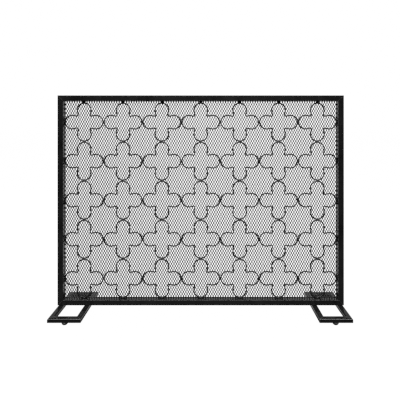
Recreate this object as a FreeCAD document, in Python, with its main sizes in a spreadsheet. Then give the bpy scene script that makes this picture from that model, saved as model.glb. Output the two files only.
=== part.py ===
"""Free-standing flat fireplace screen: a mitred tube frame on two open rectangular feet, a diamond
mesh behind it, and a grid of quatrefoil rings of round rod in front of the mesh. Millimetres.

Frame of reference: origin on the floor under the middle of the screen, +X to the right, +Y to the
back, +Z up. The front of the screen faces -Y, and the tube frame's middle plane is y = 0.
"""

import FreeCAD, Part
import Sketcher
import os
from math import atan2, cos, hypot, pi, sin

from FreeCAD import Placement, Rotation, Vector

DIMENSIONS = {
    # tube frame
    "frame_width": 1118,
    "frame_height": 820,
    "tube_size": 21,
    "tube_wall": 1.5,
    "tube_edge_radius": 1.2,
    # feet: open rectangles of solid bar with a rounded top, set in a little from the frame's sides
    "foot_width": 122,
    "foot_length": 212,
    "foot_inset": 2,
    "foot_bar_width": 21,
    "foot_bar_height": 15,
    "foot_edge_radius": 1,
    "foot_top_radius": 5,
    # levellers: a domed base on a threaded stud, one under the middle of each cross bar
    "leveller_height": 10,
    "leveller_diameter": 24,
    "leveller_pad_diameter": 15,
    "leveller_rim_height": 3,
    "leveller_stud_diameter": 8,
    "leveller_stud_length": 10.5,
    "leveller_hole_depth": 12,
    # foot bolts, heads sunk in the side bars, and threaded inserts in the bottom rail
    "bolt_diameter": 6,
    "bolt_length": 20,
    "bolt_head_diameter": 10,
    "bolt_head_height": 6,
    "bolt_socket_width": 5,
    "bolt_socket_depth": 3,
    "bolt_hole_diameter": 6.6,
    "counterbore_diameter": 11,
    "insert_diameter": 9,
    "insert_length": 12,
    # mesh panel and the strips that hold its edge to the back of the tube
    "mesh_thickness": 0.3,
    "strip_width": 16,
    "strip_thickness": 2,
    "strip_inset": 6.5,
    # quatrefoil rings, which stop a little short of the top rail
    "ring_columns": 7,
    "ring_rows": 5,
    "ring_top_gap": 6,
    "rod_diameter": 4.8,
    "lobe_radius": 26.8,
    "bend_radius": 5,
    "bend_centre": 28.7,
    # clearances
    "running_clearance": 0.05,
    "contact_gap": 0.1,
}

doc = FreeCAD.newDocument("fireplace_screen")
sheet = doc.addObject("Spreadsheet::Sheet", "sheet")
for row, (alias, value) in enumerate(DIMENSIONS.items(), start=1):
    sheet.set(f"A{row}", alias)
    sheet.set(f"B{row}", str(value))
    sheet.setAlias(f"B{row}", alias)
doc.recompute()

sub_parts = []

FOOT_BOTTOM = "sheet.leveller_height"
FRAME_BOTTOM = "(sheet.leveller_height + sheet.foot_bar_height)"
FRAME_TOP = f"({FRAME_BOTTOM} + sheet.frame_height)"
FRAME_SIDE = "(sheet.frame_width / 2)"
FOOT_OUTER = f"({FRAME_SIDE} - sheet.foot_inset)"
FOOT_INNER = f"({FOOT_OUTER} - sheet.foot_width)"
FOOT_MIDDLE = f"({FOOT_OUTER} - sheet.foot_width / 2)"
FOOT_END = "(sheet.foot_length / 2)"
RING_FIELD_HEIGHT = "sheet.frame_height - 2 * sheet.tube_size - sheet.ring_top_gap"
BOLT_OUTER = f"({FOOT_OUTER} - sheet.foot_bar_width / 2)"
BOLT_INNER = f"({FOOT_INNER} + sheet.foot_bar_width / 2)"


def value(expression):
    """The number that a spreadsheet expression gives."""
    return float(sheet.evalExpression(expression))


# ---------------------------------------------------------------- building blocks


def plane(body, role):
    """One of the body's own origin planes."""
    return next(f for f in body.Origin.OriginFeatures if f.Role == role)


def add_sketch(body, name, role, offset="0"):
    """A sketch on one of the body's origin planes, moved along the plane's normal by offset."""
    sketch = body.newObject("Sketcher::SketchObject", name)
    sketch.AttachmentSupport = [(plane(body, role), "")]
    sketch.MapMode = "FlatFace"
    sketch.setExpression("AttachmentOffset.Base.z", offset)
    return sketch


def pin_point(sketch, geometry, end, x, y):
    """Ties a point of the sketch to the expressions x and y; "0" puts it on that axis."""
    x_axis, y_axis, origin = -1, -2, (-1, 1)
    for kind, expression, axis in (("DistanceX", x, y_axis), ("DistanceY", y, x_axis)):
        if expression == "0":
            sketch.addConstraint(Sketcher.Constraint("PointOnObject", geometry, end, axis))
            continue
        constraint = Sketcher.Constraint(kind, *origin, geometry, end, value(expression))
        index = sketch.addConstraint(constraint)
        sketch.setExpression(f"Constraints[{index}]", expression)


def add_polygon(sketch, corners):
    """A closed polygon whose corners are pairs of expressions."""
    points = [Vector(value(x), value(y), 0) for x, y in corners]
    following = points[1:] + points[:1]
    first = sketch.GeometryCount
    for start, end in zip(points, following):
        sketch.addGeometry(Part.LineSegment(start, end))
    for i, (x, y) in enumerate(corners):
        here = first + i
        before = first + (i - 1) % len(corners)
        sketch.addConstraint(Sketcher.Constraint("Coincident", before, 2, here, 1))
        pin_point(sketch, here, 1, x, y)


def add_circle(sketch, x, y, radius):
    """A circle with its centre and radius given by expressions."""
    centre = Vector(value(x), value(y), 0)
    geometry = sketch.addGeometry(Part.Circle(centre, Vector(0, 0, 1), value(radius)))
    pin_point(sketch, geometry, 3, x, y)
    index = sketch.addConstraint(Sketcher.Constraint("Radius", geometry, value(radius)))
    sketch.setExpression(f"Constraints[{index}]", radius)


def add_feature(body, kind, name, sketch, length, midplane=False, reverse=False):
    """A Pad or Pocket of one sketch. A pocket that removes nothing is an error."""
    before = body.Shape.Volume if body.Tip else 0
    feature = body.newObject(f"PartDesign::{kind}", name)
    feature.Profile = sketch
    feature.Midplane = midplane
    feature.Reversed = reverse
    feature.setExpression("Length", length)
    doc.recompute()
    if abs(body.Shape.Volume - before) < 1e-3:
        raise ValueError(f"{name} changes nothing")
    return feature


def finish(sub_part, label, position=("0", "0", "0"), rotation=Rotation()):
    """Names a sub-part, puts it in its place and keeps it for export."""
    sub_part.Label = label
    sub_part.Placement = Placement(Vector(*[value(p) for p in position]), rotation)
    for axis, expression in zip("xyz", position):
        sub_part.setExpression(f"Placement.Base.{axis}", expression)
    sub_parts.append(sub_part)
    return sub_part


# ---------------------------------------------------------------- mitred bars


def round_long_edges(body, base, name, side, depth, radius):
    """Rounds the bar's two long edges on its -Y or +Y face; side is -1 or 1."""
    face = side * value(depth) / 2
    edges = [
        f"Edge{i}"
        for i, edge in enumerate(body.Shape.Edges, start=1)
        if abs(edge.tangentAt(edge.FirstParameter).x) > 0.999
        and abs(edge.CenterOfMass.y - face) < 1e-6
    ]
    rounding = body.newObject("PartDesign::Fillet", name)
    rounding.Base = (base, edges)
    rounding.setExpression("Radius", radius)
    doc.recompute()
    return rounding


def mitred_bar(name, length, width, depth, edge_radius, wall=None, top_side=-1, top_radius=None):
    """A straight bar with 45 degree ends, lying along its own X axis. Its outer long side is on
    z = 0 and its inner one on z = width, and its depth is centred on y = 0. A wall makes it a tube.
    top_radius is for the long edges of its -Y or +Y face alone, whichever top_side (-1 or 1) says."""
    body = doc.addObject("PartDesign::Body", name)
    outline = add_sketch(body, f"{name}_outline", "XZ_Plane")
    half = f"{length} / 2"
    corners = [
        (f"-({half})", "0"),
        (half, "0"),
        (f"{half} - {width}", width),
        (f"-({half} - {width})", width),
    ]
    add_polygon(outline, corners)
    pad = add_feature(body, "Pad", f"{name}_bar", outline, depth, midplane=True)

    lower = round_long_edges(body, pad, f"{name}_edges", -top_side, depth, edge_radius)
    top_name = f"{name}_top_edges"
    round_long_edges(body, lower, top_name, top_side, depth, top_radius or edge_radius)

    if wall:
        hollow = add_sketch(body, f"{name}_hollow_outline", "XZ_Plane")
        inner, outer = f"{width} - {wall}", wall
        sides = [(f"-({half})", outer), (half, outer), (half, inner), (f"-({half})", inner)]
        add_polygon(hollow, sides)
        add_feature(body, "Pocket", f"{name}_hollow", hollow, f"{depth} - 2 * {wall}", midplane=True)
    return body


# How a mitred bar's own axes lie in the screen: its length, then the way from outer to inner side.
def turned(along, inward):
    return Rotation(along, inward.cross(along), inward, "XZY")


LEFT, RIGHT = Vector(-1, 0, 0), Vector(1, 0, 0)
FRONT, BACK = Vector(0, -1, 0), Vector(0, 1, 0)
DOWN, UP = Vector(0, 0, -1), Vector(0, 0, 1)


def make_rectangle_of_bars(names, inset, depth_place, section):
    """Four mitred bars round the frame's rectangle, inset from its edge: bottom, top, left, right."""
    across = f"({FRAME_SIDE} - {inset})"
    middle = f"({FRAME_BOTTOM} + sheet.frame_height / 2)"
    wide = f"(2 * {across})"
    high = f"(sheet.frame_height - 2 * {inset})"
    places = [
        (wide, ("0", depth_place, f"{FRAME_BOTTOM} + {inset}"), turned(RIGHT, UP)),
        (wide, ("0", depth_place, f"{FRAME_TOP} - {inset}"), turned(LEFT, DOWN)),
        (high, (f"-{across}", depth_place, middle), turned(DOWN, RIGHT)),
        (high, (across, depth_place, middle), turned(UP, LEFT)),
    ]
    bars = []
    for name, (length, position, rotation) in zip(names, places):
        bar = mitred_bar(name, length, **section)
        bars.append(finish(bar, name, position, rotation))
    return bars


def make_frame():
    """The four mitred tubes, with holes in the bottom rail for the threaded inserts."""
    names = ["frame_bottom_rail", "frame_top_rail", "frame_left_stile", "frame_right_stile"]
    section = {
        "width": "sheet.tube_size",
        "depth": "sheet.tube_size",
        "edge_radius": "sheet.tube_edge_radius",
        "wall": "sheet.tube_wall",
    }
    bottom_rail = make_rectangle_of_bars(names, "0", "0", section)[0]
    holes = add_sketch(bottom_rail, "insert_holes_outline", "XY_Plane")
    for sign in ("-", ""):
        for x in (BOLT_OUTER, BOLT_INNER):
            add_circle(holes, f"{sign}{x}", "0", "sheet.insert_diameter / 2")
    add_feature(bottom_rail, "Pocket", "insert_holes", holes, "2 * sheet.tube_wall", reverse=True)


def make_strips():
    """Flat strips on the back of the tube, which clamp the mesh's edge."""
    names = ["strip_bottom", "strip_top", "strip_left", "strip_right"]
    section = {
        "width": "sheet.strip_width",
        "depth": "sheet.strip_thickness",
        "edge_radius": "sheet.strip_thickness / 5",
    }
    place = "sheet.tube_size / 2 + sheet.mesh_thickness + sheet.strip_thickness / 2"
    make_rectangle_of_bars(names, "sheet.strip_inset", place, section)


def make_mesh():
    """The mesh as a plate, as thick as the mesh's metal would be if it were spread evenly."""
    panel = doc.addObject("Part::Box", "mesh_panel")
    panel.setExpression("Length", "sheet.frame_width - 2 * sheet.strip_inset")
    panel.setExpression("Width", "sheet.mesh_thickness")
    panel.setExpression("Height", "sheet.frame_height - 2 * sheet.strip_inset")
    corner = (
        f"-({FRAME_SIDE} - sheet.strip_inset)",
        "sheet.tube_size / 2",
        f"{FRAME_BOTTOM} + sheet.strip_inset",
    )
    finish(panel, "mesh_panel", corner)


# ---------------------------------------------------------------- feet


def points_down(rotation):
    """Whether a bar's own Y axis points down in the screen."""
    return rotation.multVec(Vector(0, 1, 0)).z < 0


def foot_bar(name, length, position, rotation):
    section = {
        "width": "sheet.foot_bar_width",
        "depth": "sheet.foot_bar_height",
        "edge_radius": "sheet.foot_edge_radius",
        "top_radius": "sheet.foot_top_radius",
        "top_side": -1 if points_down(rotation) else 1,
    }
    return finish(mitred_bar(name, length, **section), name, position, rotation)


def drill(bar, name, diameter, depth, from_middle=False):
    """A round hole in the middle of a foot bar's length and width, up from its underside, or down
    to the underside from the middle of its height."""
    # A foot bar's own Y axis points up or down in the screen, so its underside is found from it.
    underside_on_plus_y = points_down(bar.Placement.Rotation)
    # The XZ plane's normal is -Y.
    sign = "-" if underside_on_plus_y else ""
    offset = "0" if from_middle else f"{sign}sheet.foot_bar_height / 2"
    sketch = add_sketch(bar, f"{name}_outline", "XZ_Plane", offset)
    add_circle(sketch, "0", "sheet.foot_bar_width / 2", f"{diameter} / 2")
    reverse = underside_on_plus_y != from_middle
    add_feature(bar, "Pocket", name, sketch, depth, reverse=reverse)


def make_foot(side, sign, outward):
    """One foot: front and rear bars with a blind hole for a leveller, and two side bars with a
    counterbored hole for the bolt that holds the frame. sign is "-" on the left."""
    middle = f"{sign}{FOOT_MIDDLE}"
    height = f"{FOOT_BOTTOM} + sheet.foot_bar_height / 2"
    inward = outward * -1
    crossways = [("front", f"-{FOOT_END}", RIGHT, BACK), ("rear", FOOT_END, LEFT, FRONT)]
    for end, y, along, towards_middle in crossways:
        name = f"foot_{side}_{end}_bar"
        rotation = turned(along, towards_middle)
        bar = foot_bar(name, "sheet.foot_width", (middle, y, height), rotation)
        hole = "(sheet.leveller_stud_diameter + 2 * sheet.running_clearance)"
        drill(bar, f"{name}_stud_hole", hole, "sheet.leveller_hole_depth")
    lengthways = [("outer", FOOT_OUTER, inward), ("inner", FOOT_INNER, outward)]
    for edge, x, towards_middle in lengthways:
        name = f"foot_{side}_{edge}_bar"
        rotation = turned(FRONT, towards_middle)
        bar = foot_bar(name, "sheet.foot_length", (f"{sign}{x}", "0", height), rotation)
        drill(bar, f"{name}_bolt_hole", "sheet.bolt_hole_diameter", "sheet.foot_bar_height")
        drill(
            bar,
            f"{name}_counterbore",
            "sheet.counterbore_diameter",
            "sheet.foot_bar_height / 2",
            from_middle=True,
        )


def make_leveller(label, x, y):
    """A domed base with a flat pad under it and a stud above, turned about its own Z axis."""
    body = doc.addObject("PartDesign::Body", label)
    outline = add_sketch(body, f"{label}_outline", "XZ_Plane")
    pad = "sheet.leveller_pad_diameter / 2"
    rim = "sheet.leveller_diameter / 2"
    stud = "sheet.leveller_stud_diameter / 2"
    base_top = "sheet.leveller_height"
    stud_top = "sheet.leveller_height + sheet.leveller_stud_length"
    corners = [
        ("0", "0"),
        (pad, "0"),
        (f"({pad} + 2 * {rim}) / 3", "sheet.leveller_height * 0.22"),
        (rim, "sheet.leveller_height - sheet.leveller_rim_height"),
        (rim, base_top),
        (stud, base_top),
        (stud, stud_top),
        ("0", stud_top),
    ]
    add_polygon(outline, corners)
    turning = body.newObject("PartDesign::Revolution", f"{label}_turning")
    turning.Profile = outline
    turning.ReferenceAxis = (outline, ["V_Axis"])
    turning.Angle = 360
    doc.recompute()
    finish(body, label, (x, y, "0"))


def make_levellers():
    cross_bar = f"({FOOT_END} - sheet.foot_bar_width / 2)"
    for side, x in (("left", f"-{FOOT_MIDDLE}"), ("right", FOOT_MIDDLE)):
        make_leveller(f"leveller_{side}_front", x, f"-{cross_bar}")
        make_leveller(f"leveller_{side}_rear", x, cross_bar)


# ---------------------------------------------------------------- fasteners


def add_cylinder(name, radius, height, x, z):
    cylinder = doc.addObject("Part::Cylinder", name)
    cylinder.setExpression("Radius", radius)
    cylinder.setExpression("Height", height)
    cylinder.setExpression("Placement.Base.x", x)
    cylinder.setExpression("Placement.Base.z", z)
    return cylinder


def combine(kind, name, base, tool):
    result = doc.addObject(f"Part::{kind}", name)
    result.Base = base
    result.Tool = tool
    return result


def make_bolt(name, x):
    """A socket-head bolt standing head down, its head in the side bar's counterbore."""
    seat = f"({FOOT_BOTTOM} + sheet.foot_bar_height / 2)"
    head_bottom = f"({seat} - sheet.bolt_head_height)"
    head_radius = "sheet.bolt_head_diameter / 2"
    head = add_cylinder(f"{name}_head", head_radius, "sheet.bolt_head_height", x, head_bottom)
    shank = add_cylinder(f"{name}_shank", "sheet.bolt_diameter / 2", "sheet.bolt_length", x, seat)
    socket = doc.addObject("Part::Prism", f"{name}_socket")
    socket.Polygon = 6
    socket.setExpression("Circumradius", "sheet.bolt_socket_width / sqrt(3)")
    socket.setExpression("Height", "sheet.bolt_socket_depth")
    socket.setExpression("Placement.Base.x", x)
    socket.setExpression("Placement.Base.z", head_bottom)
    whole = combine("Fuse", f"{name}_whole", head, shank)
    return combine("Cut", name, whole, socket)


def make_insert(name, x):
    """A threaded insert in the bottom rail, flush with the rail's underside."""
    length = "sheet.insert_length"
    bore_radius = "sheet.bolt_diameter / 2 + sheet.running_clearance"
    outside = add_cylinder(f"{name}_body", "sheet.insert_diameter / 2", length, x, FRAME_BOTTOM)
    bore = add_cylinder(f"{name}_bore", bore_radius, length, x, FRAME_BOTTOM)
    return combine("Cut", name, outside, bore)


def make_fasteners():
    """Four bolts and four inserts, each kind in one group."""
    places = [f"-{BOLT_OUTER}", f"-{BOLT_INNER}", BOLT_INNER, BOLT_OUTER]
    for label, maker in (("foot_bolts", make_bolt), ("rail_inserts", make_insert)):
        group = doc.addObject("Part::Compound", label)
        group.Links = [maker(f"{label}_{i}", x) for i, x in enumerate(places, start=1)]
        finish(group, label)


# ---------------------------------------------------------------- quatrefoil rings


def tangent_points(centre_a, radius_a, centre_b, radius_b, side):
    """The ends of the line that touches two circles and crosses between them. side, 1 or -1, picks
    which of the two such lines."""
    gap = centre_b - centre_a
    distance = hypot(gap.x, gap.y)
    heading = atan2(gap.y, gap.x)
    lean = atan2(((distance**2 - (radius_a + radius_b) ** 2) ** 0.5), radius_a + radius_b)
    normal = Vector(cos(heading + side * lean), sin(heading + side * lean), 0)
    return centre_a + normal * radius_a, centre_b - normal * radius_b


def arc(centre, radius, start, end):
    """The arc from start to end, running anticlockwise about centre."""
    first = atan2(start.y - centre.y, start.x - centre.x)
    last = atan2(end.y - centre.y, end.x - centre.x)
    return Part.ArcOfCircle(Part.Circle(centre, Vector(0, 0, 1), radius), first, last)


def make_ring_pattern():
    """One quatrefoil ring about its own origin. A quarter of it is swept: half of the top lobe, the
    bend at the inner corner and half of the right lobe, joined by straight tangents. Two
    reflections complete it."""
    reach_x = "((sheet.frame_width - 2 * sheet.tube_size) / sheet.ring_columns - sheet.contact_gap) / 2"
    reach_z = f"(({RING_FIELD_HEIGHT}) / sheet.ring_rows - sheet.contact_gap) / 2"
    tip_x = f"({reach_x} - sheet.rod_diameter / 2)"
    tip_z = f"({reach_z} - sheet.rod_diameter / 2)"
    lobe, bend = value("sheet.lobe_radius"), value("sheet.bend_radius")
    top = Vector(0, value(tip_z) - lobe, 0)
    right = Vector(value(tip_x) - lobe, 0, 0)
    corner = Vector(value("sheet.bend_centre"), value("sheet.bend_centre"), 0)

    body = doc.addObject("PartDesign::Body", "ring_pattern")
    path = add_sketch(body, "ring_path", "XZ_Plane")
    top_tangent, corner_start = tangent_points(top, lobe, corner, bend, 1)
    right_tangent, corner_end = tangent_points(right, lobe, corner, bend, -1)
    top_lobe = path.addGeometry(arc(top, lobe, top_tangent, top + Vector(0, lobe, 0)))
    upper = path.addGeometry(Part.LineSegment(top_tangent, corner_start))
    turn = path.addGeometry(arc(corner, bend, corner_start, corner_end))
    lower = path.addGeometry(Part.LineSegment(corner_end, right_tangent))
    right_lobe = path.addGeometry(arc(right, lobe, right + Vector(lobe, 0, 0), right_tangent))

    start, end, centre = 1, 2, 3
    for first, first_end, second, second_end in (
        (top_lobe, start, upper, start),
        (upper, end, turn, start),
        (turn, end, lower, start),
        (lower, end, right_lobe, end),
    ):
        joint = Sketcher.Constraint("Tangent", first, first_end, second, second_end)
        path.addConstraint(joint)
    for geometry, radius in (
        (top_lobe, "sheet.lobe_radius"),
        (turn, "sheet.bend_radius"),
        (right_lobe, "sheet.lobe_radius"),
    ):
        index = path.addConstraint(Sketcher.Constraint("Radius", geometry, value(radius)))
        path.setExpression(f"Constraints[{index}]", radius)
    x_axis, y_axis = -1, -2
    path.addConstraint(Sketcher.Constraint("PointOnObject", top_lobe, centre, y_axis))
    path.addConstraint(Sketcher.Constraint("PointOnObject", right_lobe, centre, x_axis))
    pin_point(path, top_lobe, end, "0", tip_z)
    pin_point(path, right_lobe, start, tip_x, "0")
    pin_point(path, turn, centre, "sheet.bend_centre", "sheet.bend_centre")

    section = add_sketch(body, "ring_section", "YZ_Plane")
    add_circle(section, "0", tip_z, "sheet.rod_diameter / 2")
    doc.recompute()
    sweep = body.newObject("PartDesign::AdditivePipe", "ring_quarter")
    sweep.Profile = section
    sweep.Spine = (path, [f"Edge{i}" for i in range(1, path.GeometryCount + 1)])
    doc.recompute()

    for name, role in (("ring_half", "YZ_Plane"), ("ring_whole", "XY_Plane")):
        mirror = body.newObject("PartDesign::Mirrored", name)
        mirror.TransformMode = "Whole shape"
        mirror.MirrorPlane = (plane(body, role), [""])
        body.Tip = mirror
        doc.recompute()
    return body


def make_rings():
    """A grid of equal rings just in front of the mesh. They touch each other, the stiles and the
    bottom rail, and stop a little short of the top rail."""
    pattern = make_ring_pattern()
    pitch_x = "(sheet.frame_width - 2 * sheet.tube_size) / sheet.ring_columns"
    pitch_z = f"({RING_FIELD_HEIGHT}) / sheet.ring_rows"
    depth = "sheet.tube_size / 2 - sheet.rod_diameter / 2 - sheet.contact_gap"
    left = f"(-{FRAME_SIDE} + sheet.tube_size)"
    top = f"({FRAME_TOP} - sheet.tube_size - sheet.ring_top_gap)"
    for row in range(int(value("sheet.ring_rows"))):
        for column in range(int(value("sheet.ring_columns"))):
            label = f"ring_row{row + 1}_column{column + 1}"
            ring = doc.addObject("PartDesign::Body", label)
            ring.BaseFeature = pattern
            x = f"{left} + {column + 0.5} * {pitch_x}"
            z = f"{top} - {row + 0.5} * {pitch_z}"
            finish(ring, label, (x, depth, z))


# ---------------------------------------------------------------- the whole screen


def check_and_export():
    doc.recompute()
    for item in doc.Objects:
        if "Invalid" in item.State or "Error" in item.State:
            raise ValueError(f"{item.Label} is {item.State}")
    for sub_part in sub_parts:
        shape = sub_part.Shape
        if shape.isNull() or not shape.isValid() or not shape.Solids:
            raise ValueError(f"{sub_part.Label} has no valid solid")
    os.makedirs("parts", exist_ok=True)
    for sub_part in sub_parts:
        sub_part.Shape.exportStep(f"parts/{sub_part.Label}.step")
        print(f"{sub_part.Label}: {len(sub_part.Shape.Solids)} solids, {sub_part.Shape.Volume:.0f} mm3")


make_frame()
make_mesh()
make_strips()
make_foot("left", "-", LEFT)
make_foot("right", "", RIGHT)
make_levellers()
make_fasteners()
make_rings()
check_and_export()
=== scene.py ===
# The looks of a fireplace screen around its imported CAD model, in metres and in the CAD's own frame.
# +X runs along the screen, +Y to its back and +Z up.

import math
import random

import bmesh
import bpy
import numpy as np
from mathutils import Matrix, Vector, noise


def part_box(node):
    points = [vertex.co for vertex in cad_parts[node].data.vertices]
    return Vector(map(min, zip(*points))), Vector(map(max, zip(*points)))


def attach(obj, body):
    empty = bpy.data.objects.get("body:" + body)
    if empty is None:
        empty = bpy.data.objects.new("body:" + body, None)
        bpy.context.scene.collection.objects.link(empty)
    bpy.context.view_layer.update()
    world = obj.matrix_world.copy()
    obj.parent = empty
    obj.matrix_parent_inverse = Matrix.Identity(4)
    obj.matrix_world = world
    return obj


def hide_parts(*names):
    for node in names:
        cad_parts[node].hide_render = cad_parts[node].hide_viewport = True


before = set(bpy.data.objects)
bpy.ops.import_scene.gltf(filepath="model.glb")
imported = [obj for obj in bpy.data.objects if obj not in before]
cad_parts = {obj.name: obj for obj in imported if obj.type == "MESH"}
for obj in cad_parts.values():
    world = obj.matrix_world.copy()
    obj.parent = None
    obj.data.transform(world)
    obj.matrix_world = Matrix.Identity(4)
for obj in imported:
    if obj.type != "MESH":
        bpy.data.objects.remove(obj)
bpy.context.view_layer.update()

# the body that everything but the levellers belongs to
SCREEN = "screen"
SIDES = ("left", "right")

# camera: its place in metres, sensor and lens in millimetres, shift in sensor widths
CAMERA_PLACE = (0.0305, -1.410, 0.742)
SENSOR_WIDTH = 36.0
LENS = 32.26
LENS_SHIFT = (-0.02125, -0.1955)

# rings of bent rod: round lobes, joined by tight bends round a centre this far out on both axes
ROD_RADIUS = 0.0024
LOBE_RADIUS = 0.0268
BEND_RADIUS = 0.0050
BEND_CENTRE = 0.0287
RING_ROWS = 5
RING_COLUMNS = 7
ROD_SIDES = 12
LOBE_POINTS = 15
BEND_POINTS = 6
# how far a ring strays from its true shape
HAND_BEND = 0.00075
# the butt weld that closes a ring: how much thicker the rod is there, over which share of its length
WELD_SWELL = 0.10
WELD_SHARE = 0.006

# weld beads, as half sizes along the rods and across the joint
RING_BEAD = (0.0066, 0.0022)
FRAME_BEAD = (0.0052, 0.0014)
TACK_HALF_LENGTH = 0.0072
BEAD_HALF_DEPTH = 0.0022
BEAD_FORWARD = 0.0002
LUMP_HEIGHT = 0.12
LUMP_SCALE = 1.7

# expanded metal: rows of bonds, and the slanting strands between them
MESH_PITCH_X = 0.00981
MESH_PITCH_Z = 0.01707
MESH_LEAN = -0.0253
MESH_ROWS = 95
MESH_SPLIT = 48
MESH_JITTER = 4e-5
STRAND_WIDTH = 0.0019
STRAND_THICKNESS = 0.0007
STRAND_TILT = 0.0003
BOND_HEIGHT = 0.0028
BOND_WIDTH = 0.0044
# the y of the strands' front: with their tilt they just clear the frame's back
MESH_FRONT = 0.01085

# levellers: a fluted base and a threaded stud
LEVELLER_SEGMENTS = 96
STUD_RADIUS = 0.0039
THREAD_PITCH = 0.00125
THREAD_DEPTH = 0.0005
FLUTES = 24
FLUTE_DEPTH = 0.00016
FLUTES_START = 0.0075

# grain of the finishes, in noise cells per metre
MOTTLE = 14.0
PEEL = 420.0
GRAIN = 1500.0
WEAR_AND_HIGHLIGHT_PATCHES = 60.0
# the paint's edges made paler, partly as thin worn paint and partly as a painted highlight: their reach,
# and the cosines of the turn where the lightening starts and is full
EDGE_REACH = 0.0014
EDGE_STARTS = 0.995
EDGE_FULL = 0.80
WORN_AND_HIGHLIT_TONE = 0.10

# the soft light overhead, by the height of the direction it comes from (0 level, 1 straight up)
SKY_STARTS = 0.35
SKY_FULL = 0.75
SKY_STRENGTH = 3.0

# half the width of the floor
FLOOR_REACH = 25.0


# ---------------------------------------------------------------- camera


def make_camera():
    """A level camera in front of the screen, its lens shifted down so that uprights stay parallel."""
    data = bpy.data.cameras.new("camera")
    data.sensor_width = SENSOR_WIDTH
    data.lens = LENS
    data.shift_x, data.shift_y = LENS_SHIFT
    data.clip_start = 0.05
    data.clip_end = 60.0
    camera = bpy.data.objects.new("camera", data)
    camera.location = CAMERA_PLACE
    camera.rotation_euler = (math.radians(90), 0.0, 0.0)
    bpy.context.scene.collection.objects.link(camera)
    bpy.context.scene.camera = camera


# ---------------------------------------------------------------- pieces


def make_piece(name, vertices, faces, material, body, smooth=True):
    """A mesh object from its vertices and faces, riding on a body."""
    mesh = bpy.data.meshes.new(name)
    mesh.from_pydata([tuple(v) for v in vertices], [], faces)
    mesh.validate()
    mesh.materials.append(material)
    if smooth:
        mesh.shade_smooth()
    piece = bpy.data.objects.new(name, mesh)
    bpy.context.scene.collection.objects.link(piece)
    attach(piece, body)
    return piece


# ---------------------------------------------------------------- materials


def new_material(name):
    made = bpy.data.materials.new(name)
    made.use_nodes = True
    made.node_tree.nodes.clear()
    return made, made.node_tree


def add_node(tree, kind, links=None, **settings):
    """A node of this kind. settings are its properties, links its inputs by name or index: a value
    or another node's output."""
    node = tree.nodes.new(kind)
    for key, setting in settings.items():
        setattr(node, key, setting)
    for key, source in (links or {}).items():
        if isinstance(source, bpy.types.NodeSocket):
            tree.links.new(source, node.inputs[key])
        else:
            node.inputs[key].default_value = source
    return node


def noise_field(tree, place, scale, detail, roughness, distortion=0.0):
    links = {
        "Vector": place,
        "Scale": scale,
        "Detail": detail,
        "Roughness": roughness,
        "Distortion": distortion,
    }
    return add_node(tree, "ShaderNodeTexNoise", links).outputs["Fac"]


def remap(tree, source, from_low, from_high, to_low, to_high):
    """The source, stretched from the first range to the second and clamped to it."""
    links = {0: source, 1: from_low, 2: from_high, 3: to_low, 4: to_high}
    return add_node(tree, "ShaderNodeMapRange", links, clamp=True).outputs[0]


def combine(tree, operation, first, second):
    return add_node(tree, "ShaderNodeMath", {0: first, 1: second}, operation=operation).outputs[0]


def weigh(tree, first, first_share, second, second_share):
    """The sum of these shares of the two."""
    first_part = combine(tree, "MULTIPLY", first, first_share)
    second_part = combine(tree, "MULTIPLY", second, second_share)
    return combine(tree, "ADD", first_part, second_part)


def blend_colours(tree, factor, first, second):
    links = {"Factor": factor, 6: first, 7: second}
    return add_node(tree, "ShaderNodeMix", links, data_type="RGBA").outputs[2]


def edge_mask(tree):
    """1 on the edges and corners, 0 on the flats."""
    rounded = add_node(tree, "ShaderNodeBevel", {"Radius": EDGE_REACH}, samples=4).outputs[0]
    flat = add_node(tree, "ShaderNodeNewGeometry").outputs["Normal"]
    match = add_node(
        tree, "ShaderNodeVectorMath", {0: rounded, 1: flat}, operation="DOT_PRODUCT"
    ).outputs["Value"]
    return remap(tree, match, EDGE_STARTS, EDGE_FULL, 0.0, 1.0)


def finish_material(tree, links):
    shader = add_node(tree, "ShaderNodeBsdfPrincipled", links)
    output = add_node(tree, "ShaderNodeOutputMaterial")
    tree.links.new(shader.outputs[0], output.inputs["Surface"])


def grey(level, warmth=0.0):
    """A neutral colour, or with warmth a slightly red one."""
    return (level * (1 + warmth), level, level * (1 - warmth), 1.0)


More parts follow.
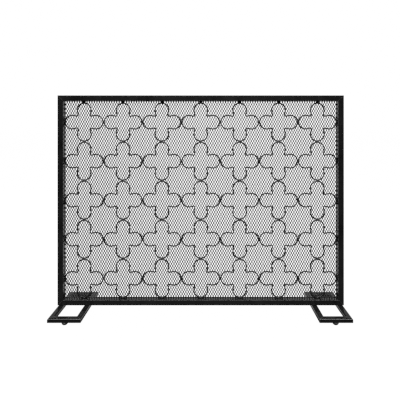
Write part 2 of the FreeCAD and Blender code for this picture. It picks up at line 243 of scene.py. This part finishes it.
def make_paint(name, dark, light, low, high, peel, specular, wear_and_highlight=0.0):
    """Black paint on steel: its tone mottled between dark and light, its roughness uneven between
    low and high, with an orange peel this deep and, by the given share, paler and glossier edges that are
    partly thin worn paint and partly a painted highlight."""
    made, tree = new_material(name)
    place = add_node(tree, "ShaderNodeTexCoord").outputs["Object"]
    broad = noise_field(tree, place, MOTTLE, 4.0, 0.6)
    fine = noise_field(tree, place, PEEL, 3.0, 0.55)
    grain = noise_field(tree, place, GRAIN, 2.0, 0.5)
    tone = weigh(tree, broad, 0.6, fine, 0.4)
    colour = blend_colours(tree, remap(tree, tone, 0.35, 0.65, 0.0, 1.0), grey(dark), grey(light))
    gloss = weigh(tree, fine, 0.5, broad, 0.5)
    roughness = remap(tree, gloss, 0.3, 0.7, low, high)
    if wear_and_highlight:
        # Edges are mixed towards a paler grey: partly thin worn paint, partly a painted highlight where
        # light would catch the rounded edges.
        edges = edge_mask(tree)
        patches = remap(tree, noise_field(tree, place, WEAR_AND_HIGHLIGHT_PATCHES, 5.0, 0.65), 0.35, 0.65, 0.2, 1.0)
        worn_and_highlit = combine(tree, "MULTIPLY", combine(tree, "MULTIPLY", edges, patches), wear_and_highlight)
        colour = blend_colours(tree, worn_and_highlit, colour, grey(WORN_AND_HIGHLIT_TONE, 0.05))
        roughness = combine(tree, "SUBTRACT", roughness, combine(tree, "MULTIPLY", worn_and_highlit, 0.12))
    height = combine(tree, "ADD", combine(tree, "MULTIPLY", grain, 0.5), fine)
    bump = add_node(
        tree, "ShaderNodeBump", {"Height": height, "Strength": 0.45, "Distance": peel}
    ).outputs[0]
    finish_material(
        tree,
        {
            "Base Color": colour,
            "Roughness": roughness,
            "Normal": bump,
            "Specular IOR Level": specular,
            "IOR": 1.5,
        },
    )
    return made


def make_plastic(name):
    """Glossy black moulded plastic with faint flow marks and small scuffs."""
    made, tree = new_material(name)
    place = add_node(tree, "ShaderNodeTexCoord").outputs["Object"]
    flow = noise_field(tree, place, 90.0, 3.0, 0.5, 0.8)
    scuffs = noise_field(tree, place, 900.0, 4.0, 0.7)
    colour = blend_colours(tree, remap(tree, flow, 0.3, 0.7, 0.0, 1.0), grey(0.012), grey(0.022))
    roughness = remap(tree, combine(tree, "MAXIMUM", flow, scuffs), 0.45, 0.75, 0.13, 0.34)
    bump = add_node(
        tree, "ShaderNodeBump", {"Height": scuffs, "Strength": 0.3, "Distance": 0.00002}
    ).outputs[0]
    finish_material(
        tree,
        {
            "Base Color": colour,
            "Roughness": roughness,
            "Normal": bump,
            "Specular IOR Level": 0.5,
        },
    )
    return made


def make_steel(name):
    """Zinc-plated steel, brushed, with dull patches."""
    made, tree = new_material(name)
    place = add_node(tree, "ShaderNodeTexCoord").outputs["Object"]
    stretched = add_node(
        tree, "ShaderNodeMapping", {"Vector": place, "Scale": (1.0, 1.0, 0.06)}
    ).outputs[0]
    brushing = noise_field(tree, stretched, 2600.0, 2.0, 0.5)
    patches = noise_field(tree, place, 260.0, 4.0, 0.6)
    colour = blend_colours(tree, remap(tree, patches, 0.35, 0.65, 0.0, 1.0), grey(0.30), grey(0.42, 0.02))
    roughness = remap(tree, combine(tree, "MULTIPLY", brushing, patches), 0.1, 0.4, 0.28, 0.5)
    bump = add_node(
        tree, "ShaderNodeBump", {"Height": brushing, "Strength": 0.4, "Distance": 0.00002}
    ).outputs[0]
    finish_material(
        tree,
        {
            "Base Color": colour,
            "Roughness": roughness,
            "Normal": bump,
            "Metallic": 1.0,
            "Anisotropic": 0.4,
        },
    )
    return made


def make_floor_finish():
    """A pale floor lit from below, like a product table, so that shadows on it stay faint."""
    made, tree = new_material("pale_floor")
    place = add_node(tree, "ShaderNodeTexCoord").outputs["Object"]
    cloud = noise_field(tree, place, 1.3, 4.0, 0.5)
    colour = blend_colours(tree, cloud, grey(0.0045), grey(0.0055))
    finish_material(
        tree,
        {
            "Base Color": colour,
            "Roughness": 0.9,
            "Specular IOR Level": 0.0,
            "Emission Color": (1.0, 1.0, 1.0, 1.0),
            "Emission Strength": 0.985,
        },
    )
    return made


# ---------------------------------------------------------------- expanded metal


def bond_places():
    """{(row, column): (x, z)} of the bonds, where the strands meet. Every second row is set over by
    half a pitch, and the columns lean a little. The outermost bonds are hidden between the frame
    and the strips."""
    low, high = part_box("mesh_panel")
    middle = (low.z + high.z) / 2
    reach = (high.x - low.x) / 2 - BOND_WIDTH / 2
    jitter = random.Random(11)
    places = {}
    for row in range(MESH_ROWS):
        z = middle + (row - (MESH_ROWS - 1) / 2) * MESH_PITCH_Z / 2
        start = (row % 2) / 2 * MESH_PITCH_X + MESH_LEAN * (z - middle)
        first = math.ceil((-reach - start) / MESH_PITCH_X)
        last = math.floor((reach - start) / MESH_PITCH_X)
        for column in range(first, last + 1):
            x = start + column * MESH_PITCH_X
            places[row, column] = (
                x + jitter.uniform(-MESH_JITTER, MESH_JITTER),
                z + jitter.uniform(-MESH_JITTER, MESH_JITTER),
            )
    return places


def bond_outline():
    """The six corners of a bond about its own centre as (x, y, z), from the upper right one round
    to the left. The strand's slope and width set where the slanting edges meet the upright ones."""
    run = MESH_PITCH_X / 2
    rise = MESH_PITCH_Z / 2 - BOND_HEIGHT
    length = math.hypot(run, rise)
    across = STRAND_WIDTH / 2 * rise / length
    down = STRAND_WIDTH / 2 * run / length
    slope = rise / run
    hole_tip = BOND_HEIGHT / 2 - down + slope * (run - across)
    side = BOND_HEIGHT / 2 - down + slope * (BOND_WIDTH / 2 - across)
    tip = MESH_PITCH_Z / 2 - hole_tip
    half = BOND_WIDTH / 2
    return np.array(
        [
            (half, STRAND_TILT, side),
            (0.0, 0.0, tip),
            (-half, -STRAND_TILT, side),
            (-half, -STRAND_TILT, -side),
            (0.0, 0.0, -tip),
            (half, STRAND_TILT, -side),
        ]
    )


def make_expanded_metal(name, rows, places, material):
    """The bonds of these rows and the strands that rise from them, as one closed mesh."""
    outline = bond_outline()
    corners, faces, starts = [], [], {}

    def bond(key):
        if key not in starts:
            starts[key] = len(corners)
            x, z = places[key]
            corners.extend(outline + (x, MESH_FRONT, z))
        return starts[key]

    for key in places:
        row, column = key
        if row not in rows:
            continue
        a = bond(key)
        faces.append([a + n for n in range(6)])
        upper_right = (row + 1, column + row % 2)
        upper_left = (row + 1, column - 1 + row % 2)
        if upper_right in places:
            b = bond(upper_right)
            faces.append([a, b + 4, b + 3, a + 1])
        if upper_left in places:
            b = bond(upper_left)
            faces.append([a + 1, b + 5, b + 4, a + 2])

    edges = {(face[n - 1], face[n]) for face in faces for n in range(len(face))}
    count = len(corners)
    front = np.array(corners)
    vertices = np.concatenate([front, front + (0, STRAND_THICKNESS, 0)])
    back_faces = [[n + count for n in reversed(face)] for face in faces]
    walls = [[q, p, p + count, q + count] for p, q in sorted(edges) if (q, p) not in edges]
    return make_piece(
        name, vertices, faces + back_faces + walls, material, SCREEN, smooth=False
    )


# ---------------------------------------------------------------- rings


def half_lobe(reach):
    """From the tip of a lobe that points along the first axis to the middle of the bend at its
    root: arc, straight tangent, and half of the bend."""
    lobe = np.array((reach - ROD_RADIUS - LOBE_RADIUS, 0.0))
    bend = np.array((BEND_CENTRE, BEND_CENTRE))
    gap = bend - lobe
    heading = math.atan2(gap[1], gap[0])
    turn = heading - math.acos((LOBE_RADIUS + BEND_RADIUS) / math.hypot(*gap))
    points = [
        lobe + LOBE_RADIUS * np.array((math.cos(a), math.sin(a)))
        for a in np.linspace(0.0, turn, LOBE_POINTS)
    ]
    first = turn + math.pi
    last = math.radians(225)
    bent = [
        bend + BEND_RADIUS * np.array((math.cos(a), math.sin(a)))
        for a in np.linspace(first, last, BEND_POINTS)
    ]
    start, end = points[-1], bent[0]
    straight = [start + (end - start) * t for t in (0.34, 0.67)]
    return points + straight + bent


def ring_outline(half_x, half_z):
    """The rod's centre line round one ring as (x, z), anticlockwise from the right tip."""
    right = half_lobe(half_x)
    top = [p[::-1] for p in half_lobe(half_z)]
    quarter = np.array(right + top[-2::-1])
    second = (quarter * (-1, 1))[-2::-1]
    upper = np.concatenate([quarter, second])
    lower = (upper * (1, -1))[-2:0:-1]
    return np.concatenate([upper, lower])


def bend_by_hand(points, dice):
    """The line a little off its true shape, except at the four tips, and how far round the ring
    each of its points is, from 0 to 1."""
    following = np.roll(points, -1, axis=0)
    along = following - np.roll(points, 1, axis=0)
    along /= np.linalg.norm(along, axis=1)[:, None]
    outward = np.stack([along[:, 1], -along[:, 0]], axis=1)
    steps = np.linalg.norm(following - points, axis=1)
    travelled = np.concatenate([[0.0], np.cumsum(steps)[:-1]]) / steps.sum()
    drift = np.zeros(len(points))
    for harmonic in range(2, 9):
        size = HAND_BEND / harmonic**0.7
        phase = dice.uniform(0, 2 * math.pi)
        drift += dice.uniform(-size, size) * np.sin(2 * math.pi * harmonic * travelled + phase)
    keep = np.abs(np.sin(4 * math.pi * travelled))
    return points + outward * (drift * keep)[:, None], travelled


def make_ring(node, material, dice):
    """One ring as a closed round rod, in place of its CAD node."""
    low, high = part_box(node)
    centre = (low + high) / 2
    line = ring_outline((high.x - low.x) / 2, (high.z - low.z) / 2)
    line, travelled = bend_by_hand(line, dice)
    along = np.roll(line, -1, axis=0) - np.roll(line, 1, axis=0)
    along /= np.linalg.norm(along, axis=1)[:, None]
    outward = np.stack([along[:, 1], -along[:, 0]], axis=1)
    closing_weld = dice.choice((0.125, 0.375, 0.625, 0.875)) + dice.uniform(-0.02, 0.02)
    swell = 1 + WELD_SWELL * np.exp(-(((travelled - closing_weld) / WELD_SHARE) ** 2))
    vertices, faces = [], []
    count = len(line)
    for n in range(count):
        radius = ROD_RADIUS * swell[n] * dice.uniform(0.985, 1.0)
        for side in range(ROD_SIDES):
            angle = 2 * math.pi * side / ROD_SIDES
            x, z = line[n] + outward[n] * radius * math.cos(angle)
            vertices.append((centre.x + x, centre.y + radius * math.sin(angle), centre.z + z))
            here, after = n * ROD_SIDES, (n + 1) % count * ROD_SIDES
            turn = (side + 1) % ROD_SIDES
            faces.append([here + side, after + side, after + turn, here + turn])
    ring = make_piece(node + "_rod", vertices, faces, material, SCREEN)
    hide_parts(node)


# ---------------------------------------------------------------- weld beads


def lump(centre, half, seed, vertices, faces):
    """Adds one lumpy bead of weld metal with these half sizes."""
    shape = bmesh.new()
    bmesh.ops.create_icosphere(shape, subdivisions=2, radius=1.0)
    start = len(vertices)
    for v in shape.verts:
        spot = v.co * LUMP_SCALE + Vector((seed * 3.1, seed * 1.7, 0))
        ripple = 1 + LUMP_HEIGHT * noise.noise(spot)
        vertices.append(tuple(c + h * ripple * o for c, h, o in zip(centre, half, v.co)))
    for f in shape.faces:
        faces.append([start + v.index for v in f.verts])
    shape.free()


def make_weld_beads(material):
    """A bead wherever two rings touch and wherever a ring meets the frame, as one piece."""
    vertices, faces = [], []
    opening_low_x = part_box("frame_left_stile")[1].x
    opening_high_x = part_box("frame_right_stile")[0].x
    opening_low_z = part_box("frame_bottom_rail")[1].z
    opening_high_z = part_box("frame_top_rail")[0].z
    seed = 0
    for row in range(1, RING_ROWS + 1):
        for column in range(1, RING_COLUMNS + 1):
            low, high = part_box(f"ring_row{row}_column{column}")
            middle = (low + high) / 2
            tips = [
                ((high.x, middle.z), "upright", column == RING_COLUMNS),
                ((middle.x, low.z), "level", row == RING_ROWS),
            ]
            if column == 1:
                tips.append(((low.x, middle.z), "upright", True))
            if row == 1:
                tips.append(((middle.x, high.z), "level", True))
            for (x, z), lie, at_frame in tips:
                seed += 1
                along, across = FRAME_BEAD if at_frame else RING_BEAD
                x = min(max(x, opening_low_x), opening_high_x)
                if lie == "level" and at_frame and z > middle.z:
                    # the tack that bridges the space under the top rail
                    across = (opening_high_z - z) / 2 + ROD_RADIUS * 0.6
                    along = TACK_HALF_LENGTH
                    z = (opening_high_z + z) / 2 - ROD_RADIUS * 0.4
                z = max(z, opening_low_z)
                if lie == "upright":
                    half = (across, BEAD_HALF_DEPTH, along)
                else:
                    half = (along, BEAD_HALF_DEPTH, across)
                lump((x, middle.y - BEAD_FORWARD, z), half, seed, vertices, faces)
    make_piece("weld_beads", vertices, faces, material, SCREEN)


# ---------------------------------------------------------------- levellers


def leveller_profile(height, stud_top, rim, stud):
    """Three runs of (radius, z), from the centre of the pad out and up the base, up the threaded
    stud, and over its end."""
    pad = rim * 0.62
    base = [
        (0.0, 0.0003),
        (pad * 0.55, 0.0002),
        (pad * 0.93, 0.0),
        (pad, 0.0003),
        (pad, 0.0008),
        (pad + 0.0004, 0.0010),
        (rim * 0.72, 0.0014),
        (rim * 0.82, 0.0027),
        (rim * 0.90, 0.0044),
        (rim * 0.96, 0.0062),
        (rim, 0.0081),
        (rim, height - 0.0007),
        (rim - 0.0002, height - 0.0003),
        (rim - 0.0006, height),
        (stud + 0.0020, height),
        (stud + 0.0014, height),
        (stud, height + 0.0001),
    ]
    thread = [(stud, z) for z in np.arange(height + 0.0004, stud_top - 0.0008, THREAD_PITCH / 8)]
    end = [(stud - 0.0004, stud_top - 0.0004), (stud - 0.0009, stud_top), (0.0, stud_top)]
    return base, thread, end


def make_leveller(name, material):
    """One leveller turned from its profile, in place of its CAD node."""
    low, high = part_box(name)
    middle = (low + high) / 2
    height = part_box("foot_left_front_bar")[0].z
    base, thread, end = leveller_profile(height, high.z, (high.x - low.x) / 2, STUD_RADIUS)
    profile = base + thread + end
    vertices, faces = [], []
    for n, (radius, z) in enumerate(profile):
        threaded = len(base) <= n < len(base) + len(thread)
        fluted = FLUTES_START < z < height - 0.0005
        for k in range(LEVELLER_SEGMENTS):
            angle = 2 * math.pi * k / LEVELLER_SEGMENTS
            r = radius
            if threaded:
                turn = (z / THREAD_PITCH - angle / (2 * math.pi)) % 1.0
                r -= THREAD_DEPTH * abs(2 * turn - 1)
            elif fluted:
                r -= FLUTE_DEPTH * (0.5 + 0.5 * math.cos(FLUTES * angle))
            vertices.append(
                (middle.x + r * math.cos(angle), middle.y + r * math.sin(angle), low.z + z)
            )
    rings = len(profile)
    for n in range(rings - 1):
        for k in range(LEVELLER_SEGMENTS):
            a, b = n * LEVELLER_SEGMENTS + k, n * LEVELLER_SEGMENTS + (k + 1) % LEVELLER_SEGMENTS
            faces.append([a, b, b + LEVELLER_SEGMENTS, a + LEVELLER_SEGMENTS])
    piece = make_piece(name + "_glide", vertices, faces, material, name)
    shape = bmesh.new()
    shape.from_mesh(piece.data)
    bmesh.ops.remove_doubles(shape, verts=shape.verts, dist=1e-7)
    bmesh.ops.recalc_face_normals(shape, faces=shape.faces)
    shape.to_mesh(piece.data)
    shape.free()
    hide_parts(name)


# ---------------------------------------------------------------- floor and light


def make_softbox(name, place, target, size, radiance):
    """A rectangle of even light, which cameras don't see."""
    light = bpy.data.lights.new(name, "AREA")
    light.shape = "RECTANGLE"
    light.size, light.size_y = size
    light.energy = radiance * math.pi * size[0] * size[1]
    box = bpy.data.objects.new(name, light)
    box.location = place
    box.rotation_euler = (Vector(place) - target).to_track_quat("Z", "Y").to_euler()
    box.visible_camera = False
    bpy.context.scene.collection.objects.link(box)


def make_stage(material):
    """A wide floor, a white world that is brighter overhead, and the softboxes."""
    mesh = bpy.data.meshes.new("floor")
    corners = [
        (-FLOOR_REACH, -FLOOR_REACH, 0),
        (FLOOR_REACH, -FLOOR_REACH, 0),
        (FLOOR_REACH, FLOOR_REACH, 0),
        (-FLOOR_REACH, FLOOR_REACH, 0),
    ]
    mesh.from_pydata(corners, [], [[0, 1, 2, 3]])
    mesh.materials.append(material)
    floor = bpy.data.objects.new("floor", mesh)
    bpy.context.scene.collection.objects.link(floor)

    world = bpy.data.worlds.new("studio")
    world.use_nodes = True
    tree = world.node_tree
    direction = add_node(tree, "ShaderNodeTexCoord").outputs["Generated"]
    height = add_node(tree, "ShaderNodeSeparateXYZ", {"Vector": direction}).outputs["Z"]
    background = tree.nodes["Background"]
    background.inputs["Color"].default_value = (1.0, 1.0, 1.0, 1.0)
    tree.links.new(
        remap(tree, height, SKY_STARTS, SKY_FULL, 1.0, SKY_STRENGTH), background.inputs["Strength"]
    )
    bpy.context.scene.world = world
    bpy.context.scene.view_settings.view_transform = "Standard"
    bpy.context.scene.cycles.use_denoising = False
    bpy.context.scene.cycles.filter_width = 1.3

    # Reflections show the softboxes alone, as in a dim studio, and not the white surroundings.
    # They also look past the floor, so the rear softbox reaches below it.
    floor.visible_glossy = False
    world.cycles_visibility.glossy = False
    middle = Vector((0.0, 0.0, 0.3))
    make_softbox("front_softbox", (0.0, -4.2, 4.6), middle, (6.4, 2.4), 20.0)
    make_softbox("rear_softbox", (0.0, 2.45, 0.04), Vector((0.0, 0.0, 0.04)), (6.0, 2.6), 1.05)
    # A dim one below the floor's level stands in for what low parts would reflect of the floor.
    make_softbox("low_front_softbox", (0.0, -4.2, -2.2), middle, (6.4, 1.8), 0.15)


# ---------------------------------------------------------------- the whole

make_camera()

# The frame's and the feet's paint get paler edges, partly as worn paint and partly as a painted
# highlight; the feet's share is the larger.
frame_paint = make_paint(
    "frame_paint_satin", 0.0010, 0.0034, 0.18, 0.30, peel=0.00002, wear_and_highlight=0.35, specular=0.42
)
foot_paint = make_paint(
    "foot_paint_satin", 0.0008, 0.0026, 0.18, 0.30, peel=0.00002, wear_and_highlight=0.5, specular=0.28
)
ring_paint = make_paint(
    "ring_paint_satin", 0.0015, 0.0045, 0.32, 0.48, peel=0.00005, specular=0.28
)
# The mesh's black paint has a tone several times paler than the frame's: a painted sheen standing in for
# the light that its tilted strands would catch from above.
mesh_paint_and_sheen = make_paint(
    "mesh_paint_painted_sheen", 0.0100, 0.0200, 0.40, 0.60, peel=0.00003, specular=0.40
)
plastic = make_plastic("gloss_plastic")
steel = make_steel("plated_steel")

# the finish of each CAD node, by the first of these that its name starts with
finishes = (
    ("frame_", frame_paint),
    ("strip_", frame_paint),
    ("foot_bolts", steel),
    ("rail_inserts", steel),
    ("foot_", foot_paint),
    ("ring_", ring_paint),
    ("mesh_", mesh_paint_and_sheen),
    ("leveller_", plastic),
)
for node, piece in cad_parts.items():
    finish = next(material for start, material in finishes if node.startswith(start))
    for slot in piece.material_slots:
        slot.material = finish

places = bond_places()
lower = make_expanded_metal("mesh_lower", range(0, MESH_SPLIT), places, mesh_paint_and_sheen)
upper = make_expanded_metal("mesh_upper", range(MESH_SPLIT, MESH_ROWS), places, mesh_paint_and_sheen)
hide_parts("mesh_panel")
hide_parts("mesh_panel")

dice = random.Random(5)
for row in range(1, RING_ROWS + 1):
    for column in range(1, RING_COLUMNS + 1):
        make_ring(f"ring_row{row}_column{column}", ring_paint, dice)
make_weld_beads(ring_paint)

for side in SIDES:
    for end in ("front", "rear"):
        make_leveller(f"leveller_{side}_{end}", plastic)

make_stage(make_floor_finish())
